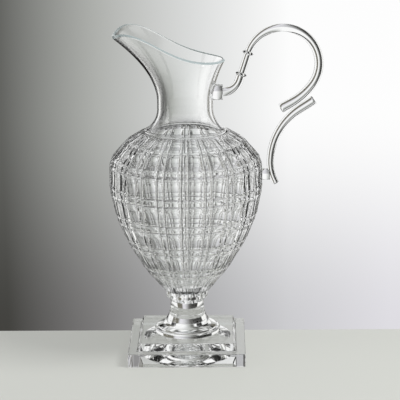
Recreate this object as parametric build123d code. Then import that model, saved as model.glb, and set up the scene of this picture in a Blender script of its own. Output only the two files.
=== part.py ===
from build123d import *
from math import cos, radians, sin, sqrt
import os

# Clear acrylic water jug: a footed bowl with a moulded plaid of double ribs, a smooth
# neck with a pouring lip, and a handle bent from two round rods.
# Millimetres, +Z up. The origin is the centre of the plinth's underside, the lip
# points to -X and the handle to +X. Every piece is cemented to the next one.

# Fits: flat seats touch, curved seats stay this far apart
seat_gap = 0.3

# Square plinth in two tiers, hollow underneath
slab_side = 120.0
slab_height = 13.6
slab_corner_radius = 1.5
slab_edge_bevel = 0.6
tier_foot_side = 101.0
tier_top_side = 95.0
tier_height = 7.6
hollow_diameter = 90.0
hollow_depth = 12.0

# Round foot and stem, turned about Z, with heights counted from the plinth's top
foot_diameter = 68.0
foot_edge_height = 3.2
foot_edge_bevel = 1.2
step_width = 2.4
step_height = 1.4
flare_diameter = 51.0
waist_diameter = 34.2
waist_height = 29.8
waist_length = 3.0
collar_diameter = 42.8
collar_height = 11.5
collar_slope_height = 4.6
collar_notch_depth = 1.4

# Bowl: a parabola from the foot to the widest part, a steeper power curve over the shoulder
bowl_diameter = 156.8
bowl_foot_diameter = 47.2
bowl_top_diameter = 91.4
bowl_taper_height = 122.5
bowl_taper_power = 2.0
bowl_shoulder_height = 44.3
bowl_shoulder_power = 2.6
bowl_wall = 3.0
bowl_floor_thickness = 9.0

# Moulded plaid: pairs of ribs down the bowl and pairs of rings round it. Rises are
# shares of the radius, and the rings' places are shares of the taper or the shoulder.
pair_count = 20
pair_spread_angle = 5.3
rib_width_angle = 1.7
rib_rise = 0.011
crossing_rise = 0.017
ring_spread = 7.4
ring_width = 2.2
taper_ring_places = [0.197, 0.438, 0.649]
weld_ring_place = 0.88
shoulder_ring_place = 0.323
top_ring_place = 0.804

# Neck: its ring seats on the bowl's top
neck_wall = 3.0
bowl_ledge_width = 1.7
neck_ring_height = 2.4
neck_ledge_width = 2.8
throat_diameter = 56.6
throat_rise = 23.7
throat_length = 8.0

# Mouth and pouring lip, with heights counted from the throat's top
flare_height = 61.0
flare_steps = 7
lip_reach = 39.7
lip_curve = 1.9
back_reach = 24.5
back_curve = 1.7
side_reach = 20.0
side_curve = 1.25
lip_tip_height = 65.5
lip_tip_slope = 1.1
lip_crest_height = 73.2
lip_crest_setback = 17.2
rim_middle_height = 58.2
rim_middle_reach = 20.0
rim_centre_height = 49.2
mouth_back_height = 43.2
rim_trim_margin = 3.0
rim_rounding = 0.8

# Handle: a boss on the neck, an upper rod with two beads and a C-scroll
boss_diameter = 16.2
boss_height = 8.4
boss_length = 9.9
boss_rounding = 1.0
arm_bend_radius = 17.5
arm_rise_angle = 72.0
arm_length = 29.0
arm_diameter = 7.4
shank_diameter = 6.2
bead_diameter = 10.6
bead_width = 3.2
bead_spacing = 22.7
scroll_radius = 36.6
scroll_turn = 200.0
scroll_start_diameter = 7.2
scroll_end_diameter = 9.8
curl_radius = 68.0
curl_turn = 23.0
curl_end_length = 11.5
rod_end_rounding = 1.4

# Lower rod, cemented under the end of the C-scroll and held off the bowl by a peg
meeting_turn = 19.0
tail_top_length = 17.0
tail_standoff = 8.0
tail_foot_radius = 43.0
tail_foot_turn = 31.0
tail_top_diameter = 9.4
tail_foot_diameter = 6.4
peg_diameter = 11.8
peg_turn = 17.0
peg_seat_depth = 1.0

# Heights above the origin that follow from the sizes above
plinth_top = slab_height + tier_height
bowl_foot = plinth_top + waist_height + waist_length + collar_height
bowl_widest = bowl_foot + bowl_taper_height
bowl_top = bowl_widest + bowl_shoulder_height
throat_foot = bowl_top + throat_rise
throat_top = throat_foot + throat_length
rim_back = throat_top + mouth_back_height
rim_crest = throat_top + lip_crest_height

# Radii and angles that several pieces share
throat_radius = throat_diameter / 2
pair_pitch_angle = 360 / pair_count


def make_plinth():
    """Square slab and tapered tier in one moulding, with a domed hollow below."""
    slab = extrude(RectangleRounded(slab_side, slab_side, slab_corner_radius), slab_height)
    slab = chamfer(slab.faces().sort_by(Axis.Z)[-1].edges(), slab_edge_bevel)
    tier_foot = Plane.XY.offset(slab_height) * Rectangle(tier_foot_side, tier_foot_side)
    tier_top = Plane.XY.offset(plinth_top) * Rectangle(tier_top_side, tier_top_side)
    tier = loft([tier_foot, tier_top], ruled=True)
    rim_radius = hollow_diameter / 2
    dome_radius = (rim_radius**2 + hollow_depth**2) / (2 * hollow_depth)
    dome = Pos(0, 0, hollow_depth - dome_radius) * Sphere(dome_radius)
    return slab + tier - dome


def make_foot_and_stem():
    """Stepped round foot, concave stem and the notched collar that carries the bowl."""
    foot_radius = foot_diameter / 2
    edge_top = plinth_top + foot_edge_height
    step_foot = edge_top + foot_edge_bevel
    step_radius = foot_radius - foot_edge_bevel - step_width
    step_top = step_foot + step_height
    flare_foot = (flare_diameter / 2, step_top + step_height)
    waist_radius = waist_diameter / 2
    waist_foot = (waist_radius, plinth_top + waist_height)
    waist_top = (waist_radius, plinth_top + waist_height + waist_length)
    collar_radius = collar_diameter / 2
    rim = Polyline(
        (0, plinth_top),
        (foot_radius, plinth_top),
        (foot_radius, edge_top),
        (foot_radius - foot_edge_bevel, step_foot),
        (step_radius, step_foot),
        (step_radius, step_top),
        flare_foot,
    )
    stem = TangentArc(waist_foot, flare_foot, tangent=(0, -1))
    collar = Polyline(
        waist_foot,
        waist_top,
        (collar_radius, waist_top[1] + collar_slope_height),
        (collar_radius, bowl_foot - collar_notch_depth),
        (collar_radius - collar_notch_depth, bowl_foot),
        (0, bowl_foot),
        (0, plinth_top),
    )
    body = revolve(Plane.XZ * make_face([*rim.edges(), stem, *collar.edges()]), Axis.Z)
    notch_side = collar_notch_depth * sqrt(2)
    notch = extrude(Rot(0, 0, 45) * Rectangle(notch_side, notch_side), collar_height)
    notch = Pos(collar_radius, 0, waist_top[1]) * notch
    turns = [(k + 1 / 2) * pair_pitch_angle for k in range(pair_count)]
    return body - [Rot(0, 0, turn) * notch for turn in turns]


def outline_radius(height):
    """Radius of the bowl's ribs at a height."""
    widest = bowl_diameter / 2
    if height < bowl_widest:
        depth = (bowl_widest - height) / bowl_taper_height
        return widest - (widest - bowl_foot_diameter / 2) * depth**bowl_taper_power
    rise = (height - bowl_widest) / bowl_shoulder_height
    return widest - (widest - bowl_top_diameter / 2) * rise**bowl_shoulder_power


def panel_radius(height):
    """Radius of the clear panels between the ribs."""
    return outline_radius(height) / (1 + rib_rise)


def inner_radius(height):
    """Radius of the inside, a wall's thickness in from the panels."""
    step = 0.5
    slope = (panel_radius(height + step) - panel_radius(height - step)) / (2 * step)
    return panel_radius(height) - bowl_wall * sqrt(1 + slope**2)


def crest_radius(height, on_ring):
    """Radius of the upright ribs' crests, which rise where they cross a ring."""
    return panel_radius(height) * (1 + (crossing_rise if on_ring else rib_rise))


def field_radius(height, on_ring):
    """Radius between the upright ribs: the panel, or the crest of a ring."""
    return panel_radius(height) * (1 + (rib_rise if on_ring else 0))


def plaid_section(height, on_ring):
    """Section of the bowl at a height: each pair of ribs has a valley between its crests."""
    field = field_radius(height, on_ring)
    crest = crest_radius(height, on_ring)
    crest_angle = pair_spread_angle / 2
    foot_angle = crest_angle + rib_width_angle / 2
    rib_pair = [(-foot_angle, field), (-crest_angle, crest), (0, field)]
    rib_pair += [(crest_angle, crest), (foot_angle, field)]
    points = []
    for k in range(pair_count):
        for offset, radius in rib_pair:
            angle = radians(k * pair_pitch_angle + offset - 90)
            points.append((radius * cos(angle), radius * sin(angle)))
    return Plane.XY.offset(height) * make_face(Polyline(*points, close=True))


def ring_levels(crest):
    """Levels of one ring, from its foot over its crest: (height, whether on a ring)."""
    half_width = ring_width / 2
    return [(crest - half_width, False), (crest, True), (crest + half_width, False)]


def ring_pair_levels(centre):
    """Levels of a pair of rings, which share the valley between them."""
    lower = ring_levels(centre - ring_spread / 2)
    upper = ring_levels(centre + ring_spread / 2)
    return lower[:2] + [(centre, False)] + upper[1:]


def taper_height(place):
    """Height of a place on the bowl's taper."""
    return bowl_foot + place * bowl_taper_height


def shoulder_height(place):
    """Height of a place on the bowl's shoulder."""
    return bowl_widest + place * bowl_shoulder_height


def lower_levels():
    """Levels of the lower moulding, up to the valley of the weld's pair of rings."""
    levels = [(bowl_foot, False)]
    for place in taper_ring_places:
        levels += ring_pair_levels(taper_height(place))
    return levels + ring_pair_levels(taper_height(weld_ring_place))[:3]


def upper_levels():
    """Levels of the upper moulding, from the weld's valley to the seat of the neck."""
    levels = ring_pair_levels(taper_height(weld_ring_place))[2:]
    levels += ring_pair_levels(shoulder_height(shoulder_ring_place))
    levels += ring_levels(shoulder_height(top_ring_place))
    return levels + [(bowl_top, False)]


def inner_space(heights):
    """Solid that fills the bowl, straight cones from each of these heights to the next."""
    wall = [(inner_radius(height), height) for height in heights]
    outline = Polyline((0, heights[0]), *wall, (0, heights[-1]), close=True)
    return revolve(Plane.XZ * make_face(outline), Axis.Z)


def make_lower_bowl():
    """Lower moulding, from the stem up to the valley of the widest pair of rings."""
    outside = loft([plaid_section(*level) for level in lower_levels()], ruled=True)
    ring_places = taper_ring_places + [weld_ring_place]
    heights = [bowl_foot + bowl_floor_thickness] + [taper_height(place) for place in ring_places]
    return outside - inner_space(heights)


def make_upper_bowl():
    """Upper moulding, from the weld over the shoulder to the seat of the neck."""
    outside = loft([plaid_section(*level) for level in upper_levels()], ruled=True)
    ring_centre = shoulder_height(shoulder_ring_place)
    heights = [taper_height(weld_ring_place), ring_centre, ring_centre + ring_spread]
    heights += [shoulder_height(top_ring_place), bowl_top]
    return outside - inner_space(heights)


def bowl_outside(clearance):
    """Space that the ribs' crests turn through, grown by a clearance."""
    levels = lower_levels() + upper_levels()[1:]
    crests = [(crest_radius(*level) + clearance, level[0]) for level in levels]
    outline = Polyline((0, bowl_foot), *crests, (0, bowl_top), close=True)
    return revolve(Plane.XZ * make_face(outline), Axis.Z)


def flare_offset(height, reach, curve):
    """How far the mouth has spread beyond the throat at a height."""
    rise = (height - throat_top) / flare_height
    return reach * rise**curve


def mouth_section(height, growth):
    """Oval section of the flaring mouth, grown by a distance all round."""
    front = throat_radius + flare_offset(height, lip_reach, lip_curve)
    back = throat_radius + flare_offset(height, back_reach, back_curve)
    half_width = throat_radius + flare_offset(height, side_reach, side_curve)
    oval = Ellipse((front + back) / 2 + growth, half_width + growth)
    return Pos((back - front) / 2, 0, height) * oval


def neck_body(growth, foot_radius, foot_height):
    """Solid neck and mouth, grown by a distance, with its foot as given."""
    radius = throat_radius + growth
    start = (radius, throat_foot)
    foot = (foot_radius, foot_height)
    arc = TangentArc(start, foot, tangent=(0, -1))
    outline = Polyline(foot, (0, foot_height), (0, throat_top), (radius, throat_top), start)
    lower = revolve(Plane.XZ * make_face([arc, *outline.edges()]), Axis.Z)
    rise = rim_crest + rim_trim_margin - throat_top
    heights = [throat_top + rise * k / flare_steps for k in range(flare_steps + 1)]
    return lower + loft([mouth_section(height, growth) for height in heights])


def neck_outside(clearance):
    """Solid neck and mouth without their seat ring, grown by a clearance."""
    foot_radius = bowl_top_diameter / 2 - bowl_ledge_width - neck_ledge_width
    return neck_body(clearance, foot_radius + clearance, bowl_top + neck_ring_height)


def neck_inside():
    """The space inside the neck, which carries on from the inside of the bowl."""
    return neck_body(-neck_wall, inner_radius(bowl_top), bowl_top)


def rim_waste():
    """Everything above the rim, which dips at the tip and falls towards the handle."""
    tip_height = throat_top + lip_tip_height
    tip_reach = throat_radius + flare_offset(tip_height, lip_reach, lip_curve)
    start = (-tip_reach - rim_trim_margin, tip_height - rim_trim_margin)
    rim = Spline(
        start,
        (-tip_reach + rim_trim_margin, tip_height + lip_tip_slope * rim_trim_margin),
        (lip_crest_setback - tip_reach, rim_crest),
        (-rim_middle_reach, throat_top + rim_middle_height),
        (0, throat_top + rim_centre_height),
        (throat_radius, rim_back),
        (throat_diameter, rim_back),
    )
    span = 2 * tip_reach
    above = Polyline(
        rim @ 1,
        (span, rim_back),
        (span, rim_crest + span),
        (-span, rim_crest + span),
        (-span, start[1]),
        start,
    )
    return extrude(Plane.XZ * make_face([rim, *above.edges()]), span, both=True)


def make_neck():
    """Seat ring, smooth neck and flaring mouth, trimmed and rounded along the rim."""
    upright = (Align.CENTER, Align.CENTER, Align.MIN)
    ring_radius = bowl_top_diameter / 2 - bowl_ledge_width
    ring = Pos(0, 0, bowl_top) * Cylinder(ring_radius, neck_ring_height, align=upright)
    neck = neck_outside(0) - rim_waste() + ring - neck_inside()
    lowest = rim_back - neck_wall
    highest = rim_crest + neck_wall
    rim_edges = neck.edges().filter_by_position(Axis.Z, lowest, highest)
    long_edges = rim_edges.filter_by(lambda edge: edge.length > 2 * neck_wall)
    return fillet(long_edges, rim_rounding)


def handle_start():
    """Centre of the boss's outer end in the XZ plane, where the upper rod begins."""
    return Vector(throat_radius + boss_length, throat_top + boss_height)


def make_boss():
    """Round boss between the neck and the upper rod, hollowed to the neck's curve."""
    end = handle_start()
    lying = (Align.CENTER, Align.CENTER, Align.MIN)
    axis = Plane((0, 0, end.Y), z_dir=(1, 0, 0))
    boss = axis * Cylinder(boss_diameter / 2, end.X, align=lying)
    outer_edge = boss.edges().filter_by(GeomType.CIRCLE).sort_by(Axis.X)[-1]
    boss = fillet(outer_edge, boss_rounding) - neck_outside(seat_gap)
    return boss.solids().sort_by(Axis.X)[-1]


def rod(path, start_diameter, end_diameter):
    """Round rod along a path in the XZ plane, tapering from one diameter to the other."""
    route = Plane.XZ * path
    start = Plane(origin=route @ 0, z_dir=route % 0) * Circle(start_diameter / 2)
    end = Plane(origin=route @ 1, z_dir=route % 1) * Circle(end_diameter / 2)
    return sweep([start, end], path=route, multisection=True)


def rounded_end(solid, end):
    """The rod with its blunt end rounded, the end given in the XZ plane."""
    end_face = solid.faces().sort_by_distance((end.X, 0, end.Y))[0]
    return fillet(end_face.edges(), rod_end_rounding)


def bead(centre, direction):
    """Bead round the rod, with a sharp crest."""
    crest = bead_diameter / 2
    half_width = bead_width / 2
    flank = crest - half_width
    outline = Polyline(
        (0, -half_width),
        (flank, -half_width),
        (crest, 0),
        (flank, half_width),
        (0, half_width),
        close=True,
    )
    ring = revolve(Plane.XZ * make_face(outline), Axis.Z)
    return Plane(origin=(centre.X, 0, centre.Y), z_dir=(direction.X, 0, direction.Y)) * ring


def upper_rod_path():
    """Centre line of the upper rod: bend, shank below the beads, scroll, curl and end."""
    bend = JernArc(handle_start(), (1, 0), arm_bend_radius, arm_rise_angle)
    shank = Line(bend @ 1, bend @ 1 + (bend % 1) * arm_length)
    scroll = JernArc(shank @ 1, shank % 1, scroll_radius, -scroll_turn)
    curl = JernArc(scroll @ 1, scroll % 1, curl_radius, -curl_turn)
    end = Line(curl @ 1, curl @ 1 + (curl % 1) * curl_end_length)
    return bend, shank, scroll, curl, end


def make_upper_rod():
    """Bent arm, shank between two beads, and the C-scroll that thickens to its end."""
    bend, shank, scroll, curl, end = upper_rod_path()
    rise = shank % 1
    upper_bead = shank @ 1
    lower_bead = upper_bead - rise * bead_spacing
    arm = rod(bend + Line(bend @ 1, lower_bead), arm_diameter, arm_diameter)
    waist = rod(Line(lower_bead, upper_bead), shank_diameter, shank_diameter)
    c_scroll = rod(scroll + curl + end, scroll_start_diameter, scroll_end_diameter)
    c_scroll = rounded_end(c_scroll, end @ 1)
    return arm + waist + c_scroll + bead(lower_bead, rise) + bead(upper_bead, rise)


def lower_rod_path():
    """Centre line of the lower rod: beside the curl, round to the bowl, out to the foot."""
    curl = upper_rod_path()[3]
    meeting = meeting_turn / curl_turn
    heading = curl % meeting
    across = Vector(-heading.Y, heading.X)
    rod_distance = (scroll_end_diameter + tail_top_diameter) / 2 + seat_gap
    start = curl @ meeting + across * rod_distance
    top = Line(start - heading * tail_top_length, start)
    nearest_bowl = bowl_diameter / 2 + tail_standoff
    tangent_length = (nearest_bowl - start.X) / heading.X
    corner = start + heading * tangent_length
    long_bend = TangentArc(start, corner - Vector(0, tangent_length), tangent=heading)
    foot_bend = JernArc(long_bend @ 1, (0, -1), tail_foot_radius, tail_foot_turn)
    return top, long_bend, foot_bend


def make_lower_rod():
    """Lower rod, tapering to its foot, with both ends rounded."""
    top, long_bend, foot_bend = lower_rod_path()
    body = rod(top + long_bend + foot_bend, tail_top_diameter, tail_foot_diameter)
    return rounded_end(rounded_end(body, top @ 0), foot_bend @ 1)


def make_peg():
    """Short round peg between the bowl's ribs and the lower rod, hollowed to both."""
    top, long_bend, foot_bend = lower_rod_path()
    seat = foot_bend @ (peg_turn / tail_foot_turn)
    rod_side = seat.X - tail_foot_diameter / 2 + peg_seat_depth
    peg = Plane((0, 0, seat.Y), z_dir=(1, 0, 0)) * Circle(peg_diameter / 2)
    peg = extrude(peg, rod_side)
    play = 2 * seat_gap
    path = top + long_bend + foot_bend
    socket = rod(path, tail_top_diameter + play, tail_foot_diameter + play)
    return peg - bowl_outside(seat_gap) - socket


parts = {
    "plinth": make_plinth(),
    "foot_and_stem": make_foot_and_stem(),
    "bowl_lower": make_lower_bowl(),
    "bowl_upper": make_upper_bowl(),
    "neck_and_spout": make_neck(),
    "handle_boss": make_boss(),
    "handle_upper_rod": make_upper_rod(),
    "handle_lower_rod": make_lower_rod(),
    "handle_peg": make_peg(),
}

os.makedirs("parts", exist_ok=True)
for name, shape in parts.items():
    shape.label = name
    export_step(shape, f"parts/{name}.step")
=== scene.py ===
import logging
from abc import ABC, abstractmethod
from collections.abc import Callable
from dataclasses import dataclass, field
from enum import Enum, IntEnum
from functools import cache
from math import asin, atan2, ceil, cos, degrees, hypot, pi, radians, sin, sqrt, tan

import bmesh
import bpy
from bmesh.types import BMEdge, BMesh, BMFace, BMVert
from bpy.types import Material, Node, NodeSocket, NodeTree, Object
from mathutils import Matrix, Vector
from mathutils.kdtree import KDTree


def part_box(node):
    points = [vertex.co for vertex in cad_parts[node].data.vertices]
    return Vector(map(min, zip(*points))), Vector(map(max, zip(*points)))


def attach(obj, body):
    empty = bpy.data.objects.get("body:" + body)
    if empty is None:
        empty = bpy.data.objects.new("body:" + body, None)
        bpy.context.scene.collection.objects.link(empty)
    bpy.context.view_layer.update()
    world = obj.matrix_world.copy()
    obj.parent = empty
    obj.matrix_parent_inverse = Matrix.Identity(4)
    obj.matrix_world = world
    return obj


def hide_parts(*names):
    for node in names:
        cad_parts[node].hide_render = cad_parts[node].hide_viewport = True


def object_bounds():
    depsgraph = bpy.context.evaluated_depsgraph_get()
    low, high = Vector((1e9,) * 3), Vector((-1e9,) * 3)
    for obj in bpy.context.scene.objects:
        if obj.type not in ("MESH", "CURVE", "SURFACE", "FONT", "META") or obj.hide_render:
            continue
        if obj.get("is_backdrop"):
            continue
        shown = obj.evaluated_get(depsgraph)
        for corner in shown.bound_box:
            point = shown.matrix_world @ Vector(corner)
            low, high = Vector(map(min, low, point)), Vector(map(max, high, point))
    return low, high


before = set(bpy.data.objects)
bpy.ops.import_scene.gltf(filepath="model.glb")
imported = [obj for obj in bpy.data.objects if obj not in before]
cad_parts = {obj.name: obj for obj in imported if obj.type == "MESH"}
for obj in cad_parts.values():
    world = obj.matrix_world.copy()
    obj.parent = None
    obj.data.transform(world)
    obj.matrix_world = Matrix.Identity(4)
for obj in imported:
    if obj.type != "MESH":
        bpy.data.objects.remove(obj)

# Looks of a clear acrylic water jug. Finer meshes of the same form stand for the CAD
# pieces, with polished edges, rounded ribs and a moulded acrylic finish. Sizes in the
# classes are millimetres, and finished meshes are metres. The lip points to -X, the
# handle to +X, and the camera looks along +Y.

Point = tuple[float, float, float]
Colour = tuple[float, float, float]
Values = dict[str, float | tuple[float, ...]]

CAD_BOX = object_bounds()
METRES_PER_MM = 0.001
BODY = "root"
ACRYLIC_REFRACTION = 1.49
FULL_TURN = 360
HALF_TURN = 180
QUARTER_TURN = 90
ROUNDING_ANGLES = (0, 30, 60, 90)

JOINT_GAP = 0.05  # Left between a piece and the seat that it stands on.
SEAT_MARGIN = 0.6  # Left between a cemented seat and the edge of its faces.
MERGE_DISTANCE = 1e-4
SAME_PLACE = 1e-3
SAME_POINT = 1e-2
NO_TURN = 1e-9
SETTLING_ROUNDS = 60
SETTLING_SHARE = 0.5

log = logging.getLogger("jug")


class Slot(Enum):
    """Material slots of the part's record."""

    PLINTH = "clear_plinth"
    FOOT = "clear_foot"
    BOWL = "clear_bowl"
    NECK = "clear_neck"
    ROD = "clear_rod"


class Layer(IntEnum):
    """Finishes within one piece, in the order of its materials."""

    SKIN = 0
    CEMENT = 1
    # Cut edge of the rim, whose pale colour is a painted glow.
    CUT_EDGE_PAINTED_GLOW = 2


@cache
def node_box(node: str) -> tuple[Vector, Vector]:
    """Lowest and highest corner of a CAD node, in millimetres."""
    low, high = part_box(node)
    return low / METRES_PER_MM, high / METRES_PER_MM


def set_sockets(node: Node, values: Values) -> None:
    """Gives sockets of a node their constant values."""
    for socket, value in values.items():
        node.inputs[socket].default_value = value


def shaded_material(name: str, values: Values) -> Material:
    """New material, with these values on its shader."""
    material = bpy.data.materials.new(name)
    material.use_nodes = True
    set_sockets(material.node_tree.nodes["Principled BSDF"], values)
    return material


def noise(tree: NodeTree, spacing: float, values: Values) -> NodeSocket:
    """Adds a noise pattern on the piece's own coordinates.

    Args:
        tree: The material's nodes.
        spacing: Distance between its waves, in millimetres.
        values: Values of its other sockets.

    Returns:
        The pattern, from 0 to 1.
    """
    place = tree.nodes.new("ShaderNodeTexCoord").outputs["Object"]
    pattern = tree.nodes.new("ShaderNodeTexNoise")
    set_sockets(pattern, {"Scale": 1 / (spacing * METRES_PER_MM), **values})
    tree.links.new(place, pattern.inputs["Vector"])
    return pattern.outputs["Fac"]


def vary_roughness(tree: NodeTree, pattern: NodeSocket, values: Values) -> None:
    """Varies the polish with a pattern.

    Args:
        tree: The material's nodes.
        pattern: The pattern, from 0 to 1.
        values: The range of it that counts, and the roughness at both ends.
    """
    spread = tree.nodes.new("ShaderNodeMapRange")
    set_sockets(spread, values)
    tree.links.new(pattern, spread.inputs["Value"])
    tree.links.new(spread.outputs["Result"], tree.nodes["Principled BSDF"].inputs["Roughness"])


@dataclass(frozen=True)
class ClearAcrylic:
    """Polished clear acrylic with the faint waves that moulding leaves in its skin.

    Args:
        name: Name of the material.
        wave_size: Distance between the moulding waves, in millimetres.
        wave_depth: Depth of the waves, in millimetres.
        tint: Colour that light takes on in passing.
        wave_detail: Number of finer ripples laid over the waves.
        ripple_share: How much the ripples add to the waves, from 0 to 1.
        patches_per_wave: How many worn patches fit beside each other in a wave.
        patch_detail: Number of finer shapes within the patches.
        worn_range: Part of the pattern of patches over which the polish goes dull.
        haze: Largest roughness, where handling has dulled the polish.
    """

    name: str
    wave_size: float
    wave_depth: float
    tint: Colour = (0.985, 0.99, 0.987)
    wave_detail: float = 2.0
    ripple_share: float = 0.3
    patches_per_wave: float = 3.0
    patch_detail: float = 5.0
    worn_range: tuple[float, float] = (0.5, 0.8)
    haze: float = 0.006

    def material(self) -> Material:
        """Makes the finish, as a new material."""
        material = shaded_material(self.name, {
            "Base Color": (*self.tint, 1),
            "Transmission Weight": 1,
            "IOR": ACRYLIC_REFRACTION,
        })
        tree = material.node_tree
        waves = noise(tree, self.wave_size, {
            "Detail": self.wave_detail,
            "Roughness": self.ripple_share,
        })
        bump = tree.nodes.new("ShaderNodeBump")
        set_sockets(bump, {"Strength": 1, "Distance": self.wave_depth * METRES_PER_MM})
        tree.links.new(waves, bump.inputs["Height"])
        tree.links.new(bump.outputs["Normal"], tree.nodes["Principled BSDF"].inputs["Normal"])
        patches = noise(tree, self.wave_size / self.patches_per_wave, {"Detail": self.patch_detail})
        vary_roughness(tree, patches, {
            "From Min": self.worn_range[0],
            "From Max": self.worn_range[1],
            "To Max": self.haze,
        })
        return material


@dataclass(frozen=True)
class CutEdgeWithPaintedGlow:
    """Cut and flamed edge of clear acrylic, with a painted glow: its pale colour stands in for the
    light that the wall leads to it.
    """

    name: str = "cut_edge_painted_glow"
    # Painted glow: this pale blue-green stands in for the light that the wall leads to the rim.
    colour: Colour = (0.62, 0.72, 0.73)
    clear_share: float = 0.45
    grain_size: float = 1.5
    roughness: tuple[float, float] = (0.12, 0.3)

    def material(self) -> Material:
        """Makes the edge's finish, with its painted pale glow, as a new material."""
        material = shaded_material(self.name, {
            "Base Color": (*self.colour, 1),
            "Transmission Weight": self.clear_share,
            "IOR": ACRYLIC_REFRACTION,
        })
        tree = material.node_tree
        low, high = self.roughness
        vary_roughness(tree, noise(tree, self.grain_size, {}), {"To Min": low, "To Max": high})
        return material


@dataclass(frozen=True)
class Cement:
    """Clear cement with the acrylic's own refraction, so that light passes a seat unbent."""

    name: str = "clear_cement"

    def material(self) -> Material:
        """Makes the cement, which shows nothing of itself, as a new material."""
        return shaded_material(self.name, {"Alpha": 0})


def is_level(face: BMFace, height: float) -> bool:
    """Whether a face lies level at a height."""
    return all(abs(vert.co.z - height) < SAME_PLACE for vert in face.verts)


def cement_seat(bm: BMesh, height: float, inner: float, outer: float) -> None:
    """Marks the level faces of a round seat as cemented.

    Args:
        bm: The mesh, in millimetres.
        height: Height of the seat.
        inner: Radius that the seat starts from.
        outer: Radius that it ends at.
    """
    for face in bm.faces:
        reach = [hypot(vert.co.x, vert.co.y) for vert in face.verts]
        within = min(reach) > inner - SAME_PLACE and max(reach) < outer + SAME_PLACE
        if within and is_level(face, height):
            face.material_index = Layer.CEMENT


def mesh_object(name: str, bm: BMesh) -> Object:
    """Puts a mesh in the scene under a name, and frees it."""
    mesh = bpy.data.meshes.new(name)
    bm.to_mesh(mesh)
    bm.free()
    thing = bpy.data.objects.new(name, mesh)
    bpy.context.scene.collection.objects.link(thing)
    return thing


def make_piece(
    name: str,
    bm: BMesh,
    finish: ClearAcrylic,
    slot: Slot,
    *nodes: str,
    sharp_angle: float = 26.0,
) -> Object:
    """Turns a mesh in millimetres into a dressed piece that stands for CAD nodes.

    Args:
        name: Name of the piece.
        bm: Its mesh, which is freed.
        finish: Its finish.
        slot: The record's material slot. It is not used.
        nodes: The CAD nodes that it stands for.
        sharp_angle: Angle in degrees from which an edge shades as an edge.

    Returns:
        The piece, riding on the part's one body. It lets the world's light through to
        the table, and still throws the lamps' shadows.
    """
    bmesh.ops.recalc_face_normals(bm, faces=bm.faces)
    bmesh.ops.scale(bm, vec=(METRES_PER_MM,) * 3, verts=bm.verts)
    for face in bm.faces:
        face.smooth = True
    piece = mesh_object(name, bm)
    piece.data.set_sharp_from_angle(angle=radians(sharp_angle))
    layers = 1 + max(polygon.material_index for polygon in piece.data.polygons)
    # The third material is the cut edge, with its painted pale glow.
    for layer in (finish, Cement(), CutEdgeWithPaintedGlow())[:layers]:
        piece.data.materials.append(layer.material())
    piece.visible_diffuse = False
    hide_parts(*nodes)
    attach(piece, BODY)
    return piece


def wrapped_grid(columns: int, rows: int, place: Callable[[int, int], Point]) -> BMesh:
    """Grid whose crossings are put in place one by one, closed where they meet.

    Args:
        columns: Number of strips round the shape.
        rows: Number of strips along it.
        place: Gives the point, in millimetres, of a column and a row.

    Returns:
        The mesh, with points that fell together merged.
    """
    bm = bmesh.new()
    bmesh.ops.create_grid(bm, x_segments=columns, y_segments=rows, size=1)
    for vert in bm.verts:
        column = round((vert.co.x + 1) / 2 * columns)
        row = round((vert.co.y + 1) / 2 * rows)
        vert.co = place(column % columns, row)
    bmesh.ops.remove_doubles(bm, verts=bm.verts, dist=MERGE_DISTANCE)
    return bm


def lathe(profile: list[tuple[float, float]], steps: int) -> BMesh:
    """Turns a profile about Z.

    Args:
        profile: Its points as radius and height, from the axis to the axis.
        steps: Number of steps in the full turn.

    Returns:
        The closed mesh.
    """
    bm = bmesh.new()
    verts = [bm.verts.new((radius, 0, height)) for radius, height in profile]
    edges = [bm.edges.new(pair) for pair in zip(verts, verts[1:])]
    bmesh.ops.spin(
        bm,
        geom=verts + edges,
        axis=(0, 0, 1),
        cent=(0, 0, 0),
        dvec=(0, 0, 0),
        angle=2 * pi,
        steps=steps,
        use_merge=True,
    )
    bmesh.ops.remove_doubles(bm, verts=bm.verts, dist=MERGE_DISTANCE)
    return bm


def bevel_edges(bm: BMesh, edges: list[BMEdge], width: float, segments: int) -> None:
    """Rounds edges.

    Args:
        bm: The mesh.
        edges: The edges.
        width: Width of the rounding, in millimetres.
        segments: Number of facets in the rounding.
    """
    bmesh.ops.bevel(
        bm,
        geom=edges,
        offset=width,
        offset_type="OFFSET",
        affect="EDGES",
        segments=segments,
        profile=0.5,
        material=-1,
        clamp_overlap=True,
    )


def soften_edges(bm: BMesh, angle: float, width: float, segments: int) -> None:
    """Rounds each edge where the faces turn by more than an angle.

    Args:
        bm: The mesh.
        angle: The angle, in degrees.
        width: Width of the rounding, in millimetres.
        segments: Number of facets in the rounding.
    """
    bmesh.ops.recalc_face_normals(bm, faces=bm.faces)
    limit = radians(angle)
    edges = [e for e in bm.edges if len(e.link_faces) == 2 and e.calc_face_angle() > limit]
    bevel_edges(bm, edges, width, segments)


def arc_points(
    centre: tuple[float, float], radius: float, start: float, end: float, count: int
) -> list[tuple[float, float]]:
    """Points along an arc.

    Args:
        centre: Centre of the arc.
        radius: Its radius.
        start: Angle of the first point, in degrees.
        end: Angle of the last point, in degrees.
        count: Number of steps between them.

    Returns:
        The points, both ends included.
    """
    turns = [radians(start + (end - start) * k / count) for k in range(count + 1)]
    return [(centre[0] + radius * cos(t), centre[1] + radius * sin(t)) for t in turns]


def between(low: float, high: float, count: int) -> list[float]:
    """Evenly spaced values strictly between two others."""
    return [low + (high - low) * k / count for k in range(1, count)]


def roundings(width: float) -> list[tuple[float, float]]:
    """Steps back and in, from the end of a rounding to where it meets the side."""
    angles = [radians(angle) for angle in ROUNDING_ANGLES]
    return [(width * (1 - cos(a)), width * (1 - sin(a))) for a in angles]


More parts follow.
